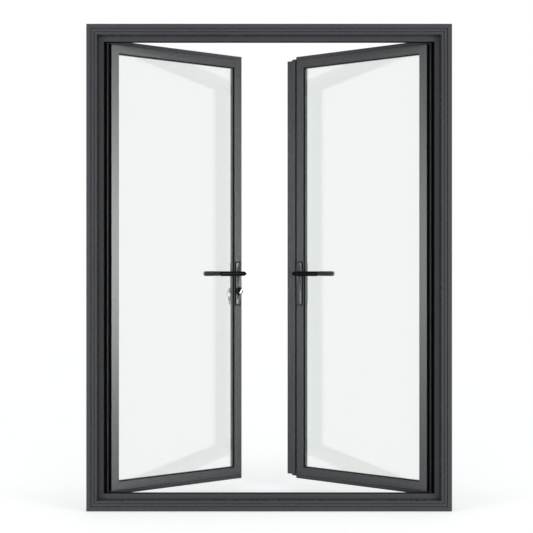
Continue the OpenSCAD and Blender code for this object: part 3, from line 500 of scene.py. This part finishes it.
# The grip points to the hinge side on both faces.
lever_turn = {"inner": Matrix(((-1, 0, 0, 0), (0, 0, -1, 0), (0, -1, 0, 0), (0, 0, 0, 1))),
              "outer": Matrix(((-1, 0, 0, 0), (0, 0, 1, 0), (0, 1, 0, 0), (0, 0, 0, 1)))}
for side in ("left", "right"):
    for face, base in (("inner", -PLATE_T), ("outer", LEAF_T + PLATE_T)):
        where = leaf_place[side] @ Matrix.Translation((spindle.x, base, spindle.z)) @ lever_turn[face]
        lever = fit_piece(f"{side}_{face}_lever_handle", lever_mesh(), lever_coat, f"{side}_handle", where,
                          f"{side}_{face}_lever")


# Lock cylinder and thumb turn
# A brass cylinder, lacquered black, held by one long screw. Inside the room a black hub carries a bright
# paddle that turns the core; outside, the key goes in.

def nickel(name, shade, worn_shade, roughness):
    """Nickel plate on brass. The eye sees a bright grey metal, with hairline handling scratches
    a few millimetres long."""
    scratch = 3 * MM
    material, tree = new_material(name)
    place = add_node(tree, "ShaderNodeTexCoord")
    drawn = add_node(tree, "ShaderNodeMapping", {"Scale": (1.0, 1.0, 8.0)},
                     {"Vector": place.outputs["Object"]})
    lines = add_node(tree, "ShaderNodeTexNoise", {"Scale": 1 / scratch, "Detail": 3.0},
                     {"Vector": drawn.outputs["Vector"]})
    tone = add_node(tree, "ShaderNodeMix", {"data_type": "RGBA", 6: linear(shade), 7: linear(worn_shade)},
                    {0: lines.outputs["Fac"]})
    gloss = add_node(tree, "ShaderNodeMapRange", {"To Min": roughness - 0.08, "To Max": roughness + 0.08},
                     {"Value": lines.outputs["Fac"]})
    shader = add_node(tree, "ShaderNodeBsdfPrincipled", {"Metallic": 1.0},
                      {"Base Color": tone.outputs[2], "Roughness": gloss.outputs["Result"]})
    add_node(tree, "ShaderNodeOutputMaterial", None, {"Surface": shader.outputs["BSDF"]})
    return material


nickel_plate = nickel("polished_nickel_plate", "#a6a6a3", "#b6b6b3", 0.2)
satin_nickel = nickel("satin_nickel_plate", "#dcdbd8", "#e6e5e2", 0.36)
turn_coat = powder_coat("black_lacquer_on_brass", "#131415", "#191a1b", 0.55, 0.08)
dress(turn_coat, "lock_cylinder", "turn_hub")

HUB_L, HUB_GAP = 8 * MM, 0.3 * MM
PADDLE_L, PADDLE_W, PADDLE_D = 32 * MM, 9 * MM, 15 * MM
PADDLE_TILT, PADDLE_EASE = math.radians(30), 1.2 * MM
paddle_outline = rounded_box(-PADDLE_W / 2, -PADDLE_L / 2, PADDLE_W / 2, PADDLE_L / 2, PADDLE_W / 2)
paddle_middle = -PLATE_T - HUB_GAP - HUB_L - PADDLE_D / 2
where = (leaf_place["left"] @ Matrix.Translation((lock_core.x, paddle_middle, lock_core.z)) @ inner_side
         @ Matrix.Rotation(-PADDLE_TILT, 4, "Z"))
paddle = fit_piece("thumb_turn_paddle", cut_sheet([paddle_outline], PADDLE_D, PADDLE_EASE), satin_nickel,
                   "cylinder_core", where, "thumb_turn")


# Keys and ring
# Flat nickel-silver keys with a round bow, a pierced hole and cuts along the blade. One is in the
# lock from outside; the other hangs from it on a double-coiled spring wire ring.

KEY_T, KEY_EASE, BLADE_H = 2.2 * MM, 0.25 * MM, 8 * MM
BOW_HOLE_R = 3.5 * MM


def key_outline(bow_r, blade_l, cuts):
    """A key lying along X: its bow at the origin and its blade to the left, with cuts of those depths
    between plain runs at both ends."""
    half, run = BLADE_H / 2, 3 * MM
    neck = math.degrees(math.asin(half / bow_r))
    shoulder = -bow_r * math.cos(math.radians(neck))
    tip = -bow_r - blade_l
    bow = arc((0, 0), bow_r, -180 + neck, 180 - neck, 44)
    step = (abs(tip) - abs(shoulder) - 2 * run) / len(cuts)
    top = []
    for i, depth in enumerate(cuts):
        x = shoulder - run - step * i
        top += [(x, half), (x - step * 0.35, half - depth), (x - step * 0.65, half - depth)]
    return bow + top + [(tip + run, half), (tip, half * 0.2), (tip, -half * 0.2), (tip + run, -half)]


# The key's flat stands upright, square to the leaf: X runs out of the leaf, Y up.
edge_on = Matrix(((0, 0, 1, 0), (1, 0, 0, 0), (0, 1, 0, 0), (0, 0, 0, 1)))
BOW_R, KEY_GAP = 14 * MM, 9 * MM
BOW_RIM, KEY_TIP_Y = 3 * MM, 35 * MM
bow_y = LEAF_T + PLATE_T + KEY_GAP + BOW_R
hole_y = bow_y + BOW_R - BOW_HOLE_R - BOW_RIM
blade_l = bow_y - BOW_R - KEY_TIP_Y
key_drawing = [key_outline(BOW_R, blade_l, [1.2 * MM, 2.0 * MM, 0.8 * MM, 1.6 * MM, 1.1 * MM]),
               arc((hole_y - bow_y, 0), BOW_HOLE_R, 0, 345, 23)]
where = leaf_place["left"] @ Matrix.Translation((lock_core.x, bow_y, lock_core.z)) @ edge_on
key = fit_piece("key_in_lock", cut_sheet(key_drawing, KEY_T, KEY_EASE), nickel_plate, "cylinder_core", where,
                "key")

RING_R, WIRE_R = 15 * MM, 0.5 * MM
# The ring's two coils lie side by side, and the wire crosses from one to the other near its end.
RING_WIRE, CLEAR = 1 * MM, 0.15 * MM
WIRE_FIT, COIL_START = 0.96, math.radians(-60)
CROSS_FROM, CROSS_OVER = 0.85, 0.25
ring_z = lock_core.z - BOW_HOLE_R + RING_WIRE + CLEAR - RING_R
coil = bpy.data.curves.new("coil", "CURVE")
coil.dimensions = "3D"
coil.bevel_depth = WIRE_R * WIRE_FIT
coil.bevel_resolution = 4
coil.use_fill_caps = True
turns, per_turn = 1.95, 64
winding = coil.splines.new("POLY")
count = int(turns * per_turn)
winding.points.add(count - 1)
for i, point in enumerate(winding.points):
    a = COIL_START + 2 * math.pi * i / per_turn
    rise = -WIRE_R + 2 * WIRE_R * min(1.0, max(0.0, (i / per_turn - CROSS_FROM) / CROSS_OVER))
    point.co = (RING_R * math.cos(a), RING_R * math.sin(a), rise, 1)
blank = bpy.data.objects.new("coil", coil)
bpy.context.scene.collection.objects.link(blank)
ring_mesh = bpy.data.meshes.new_from_object(blank.evaluated_get(bpy.context.evaluated_depsgraph_get()))
bpy.data.objects.remove(blank)
work = bmesh.new()
work.from_mesh(ring_mesh)
bmesh.ops.remove_doubles(work, verts=work.verts, dist=0.001 * MM)
bmesh.ops.recalc_face_normals(work, faces=work.faces)
work.to_mesh(ring_mesh)
work.free()
where = leaf_place["left"] @ Matrix.Translation((lock_core.x, hole_y, ring_z)) @ inner_side
ring = fit_piece("split_ring", ring_mesh, nickel_plate, "cylinder_core", where, "key_ring")

SPARE_BOW_R, SPARE_BOW_RIM, SPARE_BLADE_L = 10.5 * MM, 2.5 * MM, 21 * MM
spare_hole_z = ring_z - RING_R + RING_WIRE + CLEAR - BOW_HOLE_R
spare_bow_z = spare_hole_z - SPARE_BOW_R + BOW_HOLE_R + SPARE_BOW_RIM
# The hanging key's blade points down.
hanging = Matrix(((0, 0, 1, 0), (0, -1, 0, 0), (1, 0, 0, 0), (0, 0, 0, 1)))
spare_drawing = [key_outline(SPARE_BOW_R, SPARE_BLADE_L, [0.9 * MM, 1.8 * MM, 1.3 * MM, 0.7 * MM]),
                 arc((spare_hole_z - spare_bow_z, 0), BOW_HOLE_R, 0, 345, 23)]
where = leaf_place["left"] @ Matrix.Translation((lock_core.x, hole_y, spare_bow_z)) @ hanging
spare = fit_piece("hanging_key", cut_sheet(spare_drawing, KEY_T, KEY_EASE), nickel_plate, "cylinder_core",
                  where, "spare_key")


# Screws
# Pan-head steel screws with a cross recess hold the hinges, the lock's face, the strike plate, the
# bolt keeps and the inner handle plates. Black ones go on black and anthracite pieces.

def screw_tree():
    """A node tree that sets a pan-head screw at each point of a mesh, its head along the point's facing."""
    tree = bpy.data.node_groups.new("pan_head_screws", "GeometryNodeTree")
    tree.interface.new_socket("Geometry", in_out="INPUT", socket_type="NodeSocketGeometry")
    for name in ("Head Radius", "Head Height"):
        tree.interface.new_socket(name, in_out="INPUT", socket_type="NodeSocketFloat")
    tree.interface.new_socket("Finish", in_out="INPUT", socket_type="NodeSocketMaterial")
    tree.interface.new_socket("Geometry", in_out="OUTPUT", socket_type="NodeSocketGeometry")
    given = add_node(tree, "NodeGroupInput")
    radius, height = given.outputs["Head Radius"], given.outputs["Head Height"]
    narrow = add_node(tree, "ShaderNodeMath", {"operation": "MULTIPLY", 1: 0.72}, {0: radius})
    head = add_node(tree, "GeometryNodeMeshCone", {"Vertices": 24, "Side Segments": 1, "fill_type": "NGON"},
                    {"Radius Top": narrow.outputs[0], "Radius Bottom": radius, "Depth": height})
    slot_l = add_node(tree, "ShaderNodeMath", {"operation": "MULTIPLY", 1: 1.1}, {0: radius})
    slot_w = add_node(tree, "ShaderNodeMath", {"operation": "MULTIPLY", 1: 0.24}, {0: radius})
    slot_size = add_node(tree, "ShaderNodeCombineXYZ", None,
                         {"X": slot_l.outputs[0], "Y": slot_w.outputs[0], "Z": height})
    cross_size = add_node(tree, "ShaderNodeCombineXYZ", None,
                          {"X": slot_w.outputs[0], "Y": slot_l.outputs[0], "Z": height})
    slot = add_node(tree, "GeometryNodeMeshCube", None, {"Size": slot_size.outputs[0]})
    cross = add_node(tree, "GeometryNodeMeshCube", None, {"Size": cross_size.outputs[0]})
    lift = add_node(tree, "ShaderNodeCombineXYZ", None, {"Z": height})
    slot_up = add_node(tree, "GeometryNodeTransform", None,
                       {"Geometry": slot.outputs["Mesh"], "Translation": lift.outputs[0]})
    cross_up = add_node(tree, "GeometryNodeTransform", None,
                        {"Geometry": cross.outputs["Mesh"], "Translation": lift.outputs[0]})
    first = add_node(tree, "GeometryNodeMeshBoolean", {"operation": "DIFFERENCE"},
                     {0: head.outputs["Mesh"], 1: slot_up.outputs["Geometry"]})
    second = add_node(tree, "GeometryNodeMeshBoolean", {"operation": "DIFFERENCE"},
                      {0: first.outputs[0], 1: cross_up.outputs["Geometry"]})
    facing = add_node(tree, "GeometryNodeInputNamedAttribute",
                      {"data_type": "FLOAT_VECTOR", "Name": "facing"})
    turn = add_node(tree, "FunctionNodeAlignRotationToVector", {"axis": "Z"},
                    {"Vector": facing.outputs["Attribute"]})
    points = add_node(tree, "GeometryNodeMeshToPoints", None, {"Mesh": given.outputs["Geometry"]})
    placed = add_node(tree, "GeometryNodeInstanceOnPoints", None,
                      {"Points": points.outputs["Points"], "Instance": second.outputs[0],
                       "Rotation": turn.outputs["Rotation"]})
    real = add_node(tree, "GeometryNodeRealizeInstances", None, {"Geometry": placed.outputs["Instances"]})
    coated = add_node(tree, "GeometryNodeSetMaterial", None,
                      {"Geometry": real.outputs["Geometry"], "Material": given.outputs["Finish"]})
    add_node(tree, "NodeGroupOutput", None, {"Geometry": coated.outputs["Geometry"]})
    return tree


pan_head_screws = screw_tree()


def screws(name, body, place, spots, head_r, head_h, finish, slot_name):
    """Screws at those spots, each a point and a facing on the shut leaf or the frame, as one piece of
    a body."""
    bed = bpy.data.meshes.new(name)
    bed.from_pydata([place @ Vector(point) for point, facing in spots], [], [])
    facing = bed.attributes.new("facing", "FLOAT_VECTOR", "POINT")
    turned = place.to_3x3()
    for i, (point, way) in enumerate(spots):
        facing.data[i].vector = (turned @ Vector(way)).normalized()
    holder = bpy.data.objects.new(name + "_bed", bed)
    bpy.context.scene.collection.objects.link(holder)
    modifier = holder.modifiers.new("screws", "NODES")
    modifier.node_group = pan_head_screws
    values = {"Head Radius": head_r, "Head Height": head_h, "Finish": finish}
    for item in pan_head_screws.interface.items_tree:
        if item.in_out == "INPUT" and item.name in values:
            modifier[item.identifier] = values[item.name]
    bpy.context.view_layer.update()
    mesh = bpy.data.meshes.new_from_object(holder.evaluated_get(bpy.context.evaluated_depsgraph_get()))
    bpy.data.objects.remove(holder)
    piece = bpy.data.objects.new(name, mesh)
    bpy.context.scene.collection.objects.link(piece)
    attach(piece, body)
    return piece


still = Matrix.Identity(4)
flip = Matrix.Scale(-1, 4, (1, 0, 0))
HINGE_H, PLATE_RISE, HINGE_PLATE_T = 110 * MM, 14 * MM, 2.5 * MM
hinge_z = [260 * MM, 1100 * MM, 1940 * MM]
hinge_face = leaf_axis.y - PLATE_RISE + HINGE_PLATE_T
frame_holes = [(-30 * MM, 12 * MM), (-30 * MM, 55 * MM), (-30 * MM, 98 * MM), (-18 * MM, 55 * MM)]
sash_holes = [(42 * MM, 14 * MM), (42 * MM, 55 * MM), (42 * MM, 96 * MM),
              (23 * MM, 14 * MM), (23 * MM, 96 * MM)]
# The heads' radius and height.
FRAME_HEAD, SASH_HEAD = (3.2 * MM, 1.8 * MM), (3.6 * MM, 2.0 * MM)
PLATE_HEAD, SMALL_HEAD, STRIKE_HEAD = (3.4 * MM, 1.2 * MM), (2.7 * MM, 1.0 * MM), (2.4 * MM, 0.8 * MM)
PLATE_SCREWS_UP = (42 * MM, -140 * MM)


def hinge_spots(holes):
    """The screw spots of one side's hinges, from places across and up a hinge plate."""
    return [((leaf_axis.x + x, hinge_face, z - HINGE_H / 2 + up), (0, 1, 0))
            for z in hinge_z for x, up in holes]


for side, mirror in (("left", still), ("right", flip)):
    screws(f"{side}_hinge_frame_screws", "frame", mirror, hinge_spots(frame_holes), *FRAME_HEAD,
           hinge_coat, "black_hinge_coat")
    screws(f"{side}_hinge_leaf_screws", f"{side}_leaf", leaf_place[side], hinge_spots(sash_holes), *SASH_HEAD,
           hinge_coat, "black_hinge_coat")
    plate_spots = [((spindle.x, -PLATE_T, spindle.z + up), (0, -1, 0)) for up in PLATE_SCREWS_UP]
    screws(f"{side}_plate_screws", f"{side}_leaf", leaf_place[side], plate_spots, *PLATE_HEAD,
           anthracite_coat, "anthracite_coat")

EDGE_X, STEP_P, LOCK_Y = -4.5 * MM, 14 * MM, 28.9 * MM
face_x = EDGE_X - STEP_P
FACE_TOP, FACE_FOOT, FACE_IN = 1144 * MM, 928 * MM, 7 * MM
face_spots = [((face_x, LOCK_Y, z), (1, 0, 0))
              for z in (FACE_TOP - FACE_IN, FACE_FOOT + FACE_IN, lock_core.z)]
screws("lock_face_screws", "left_leaf", leaf_place["left"], face_spots, *SMALL_HEAD, zinc_steel, "zinc_steel")

KEEP_X, KEEP_Y, KEEP_IN = 40.5 * MM, 27 * MM, 14 * MM
KEEP_LOW, KEEP_HIGH = 50 * MM, 2150 * MM
keep_spots = [((KEEP_X + s * KEEP_IN, KEEP_Y, z), (0, 0, way))
              for s in (-1, 1) for z, way in ((KEEP_LOW, 1), (KEEP_HIGH, -1))]
screws("keep_screws", "frame", still, keep_spots, *SMALL_HEAD, zinc_steel, "zinc_steel")

STRIKE_X, STRIKE_Y = 13.5 * MM, 27.8 * MM
strike_z = [1002 * MM, 1049.5 * MM, 1089 * MM]
strike_spots = [((STRIKE_X, STRIKE_Y, z), (1, 0, 0)) for z in strike_z]
screws("strike_screws", "right_leaf", leaf_place["right"], strike_spots, *STRIKE_HEAD, zinc_steel, "zinc_steel")


# Stage
# A pale floor and a white surround, two tall soft lamps at the sides and a broad one in front.

bpy.context.scene.view_settings.view_transform = "Standard"
FLOOR_SIZE, FLOOR_Z = 40.0, -1 * MM
floor_mesh = bpy.data.meshes.new("floor")
half = FLOOR_SIZE / 2
floor_corners = [(-half, -half, FLOOR_Z), (half, -half, FLOOR_Z), (half, half, FLOOR_Z), (-half, half, FLOOR_Z)]
floor_mesh.from_pydata(floor_corners, [], [(0, 1, 2, 3)])
floor = bpy.data.objects.new("floor", floor_mesh)
bpy.context.scene.collection.objects.link(floor)
# In gloss and through the panes the white surround stands in its place.
floor.visible_glossy = floor.visible_transmission = False
floor_material, tree = new_material("pale_studio_floor")
place = add_node(tree, "ShaderNodeTexCoord")
sweep = add_node(tree, "ShaderNodeTexNoise", {"Scale": 0.5}, {"Vector": place.outputs["Object"]})
pale = add_node(tree, "ShaderNodeMix", {"data_type": "RGBA", 6: linear("#d9d9d9"), 7: linear("#dedede")},
                {0: sweep.outputs["Fac"]})
matt = add_node(tree, "ShaderNodeBsdfDiffuse", None, {"Color": pale.outputs[2]})
# Its glow rises outward as the lamps' light falls off, so that the floor meets the white surround unseen.
FAR_GLOW, LAMP_POOL = 0.612, 0.12
reach = add_node(tree, "ShaderNodeVectorMath", {"operation": "LENGTH"}, {0: place.outputs["Object"]})
reach = add_node(tree, "ShaderNodeMath", {"operation": "MAXIMUM", 1: 1.0}, {0: reach.outputs["Value"]})
pool = add_node(tree, "ShaderNodeMath", {"operation": "DIVIDE", 0: LAMP_POOL}, {1: reach.outputs[0]})
fill = add_node(tree, "ShaderNodeMath", {"operation": "SUBTRACT", 0: FAR_GLOW}, {1: pool.outputs[0]})
glow = add_node(tree, "ShaderNodeEmission", {"Color": linear("#ffffff")}, {"Strength": fill.outputs[0]})
path = add_node(tree, "ShaderNodeLightPath")
bright = add_node(tree, "ShaderNodeAddShader", None, {0: matt.outputs[0], 1: glow.outputs[0]})
ground = add_node(tree, "ShaderNodeMixShader", None,
                  {0: path.outputs["Is Camera Ray"], 1: matt.outputs[0], 2: bright.outputs[0]})
add_node(tree, "ShaderNodeOutputMaterial", None, {"Surface": ground.outputs[0]})
floor_mesh.materials.append(floor_material)

world = bpy.data.worlds.new("studio")
bpy.context.scene.world = world
world.use_nodes = True
tree = world.node_tree
tree.nodes.clear()
path = add_node(tree, "ShaderNodeLightPath")
seen = add_node(tree, "ShaderNodeMath", {"operation": "MAXIMUM"},
                {0: path.outputs["Is Camera Ray"], 1: path.outputs["Is Singular Ray"]})
satin = add_node(tree, "ShaderNodeMath", {"operation": "SUBTRACT", "use_clamp": True},
                 {0: path.outputs["Is Glossy Ray"], 1: path.outputs["Is Singular Ray"]})
SOFT_LIGHT = 0.6
soft = add_node(tree, "ShaderNodeBackground", {"Color": linear("#f6f8fa"), "Strength": SOFT_LIGHT})
white = add_node(tree, "ShaderNodeBackground", {"Color": linear("#ffffff"), "Strength": 1.0})
# Clear glass shows plain white. In satin gloss the backdrop is white, and the room in front is dimmer,
# with a soft glow at each side.
ROOM, BACKDROP = 0.3, 1.0
ahead = add_node(tree, "ShaderNodeTexCoord")
depth = add_node(tree, "ShaderNodeSeparateXYZ", None, {"Vector": ahead.outputs["Generated"]})
level = add_node(tree, "ShaderNodeMapRange",
                 {"interpolation_type": "SMOOTHSTEP", "From Min": -0.25, "From Max": 0.25, "To Min": ROOM,
                  "To Max": BACKDROP}, {"Value": depth.outputs["Y"]})
flat = add_node(tree, "ShaderNodeMapping", {"Scale": (1.0, 1.0, 1.8)}, {"Vector": ahead.outputs["Generated"]})
GLOW_TURN, GLOW_RISE, GLOW_SPREAD = math.radians(56), 0.03, 0.3
RIGHT_GLOW, LEFT_GLOW = 29.0, 12.0
for turn, strength in ((GLOW_TURN, RIGHT_GLOW), (-GLOW_TURN, LEFT_GLOW)):
    middle = (math.sin(turn), -math.cos(turn), GLOW_RISE)
    off = add_node(tree, "ShaderNodeVectorMath", {"operation": "DISTANCE", 1: middle},
                   {0: flat.outputs["Vector"]})
    side_glow = add_node(tree, "ShaderNodeMapRange",
                         {"interpolation_type": "SMOOTHSTEP", "From Min": 0.0, "From Max": GLOW_SPREAD,
                          "To Min": strength, "To Max": 0.0}, {"Value": off.outputs["Value"]})
    level = add_node(tree, "ShaderNodeMath", {"operation": "ADD"},
                     {0: level.outputs[0], 1: side_glow.outputs[0]})
mirrored = add_node(tree, "ShaderNodeBackground", {"Color": linear("#ffffff")},
                    {"Strength": level.outputs[0]})
sky = add_node(tree, "ShaderNodeMixShader", None,
               {0: seen.outputs[0], 1: soft.outputs[0], 2: white.outputs[0]})
sky = add_node(tree, "ShaderNodeMixShader", None,
               {0: satin.outputs[0], 1: sky.outputs[0], 2: mirrored.outputs[0]})
add_node(tree, "ShaderNodeOutputWorld", None, {"Surface": sky.outputs[0]})


def soft_lamp(name, place, target, width, height, power):
    """A rectangular soft lamp at a place, facing a target. Its own shape isn't mirrored in glass."""
    lamp = bpy.data.lights.new(name, "AREA")
    lamp.shape = "RECTANGLE"
    lamp.size, lamp.size_y, lamp.energy = width, height, power
    holder = bpy.data.objects.new(name, lamp)
    bpy.context.scene.collection.objects.link(holder)
    holder.location = place
    holder.rotation_euler = (Vector(target) - Vector(place)).to_track_quat("-Z", "Y").to_euler()
    holder.visible_glossy = False
    holder.visible_transmission = False


soft_lamp("right_softbox", (3.0, -2.6, 1.0), (-0.4, 0.1, 1.0), 1.5, 2.0, 70)
soft_lamp("left_softbox", (-3.0, -2.6, 1.0), (0.4, 0.1, 1.0), 1.5, 2.0, 60)
soft_lamp("front_softbox", (0.0, -6.5, 1.0), (0, 0, 1.0), 3.0, 2.0, 15)


# Camera
# Straight on to the frame at half height, as in the photograph.

SENSOR, PHOTO_PX, FOCAL_PX = 36.0, 533, 1137
EYE = (-0.012, -5.17, 1.105)
camera_data = bpy.data.cameras.new("camera")
camera_data.sensor_width = SENSOR
camera_data.lens = SENSOR * FOCAL_PX / PHOTO_PX
camera_data.clip_end = 100
camera = bpy.data.objects.new("camera", camera_data)
bpy.context.scene.collection.objects.link(camera)
camera.location = EYE
camera.rotation_euler = (math.pi / 2, 0, 0)
bpy.context.scene.camera = camera
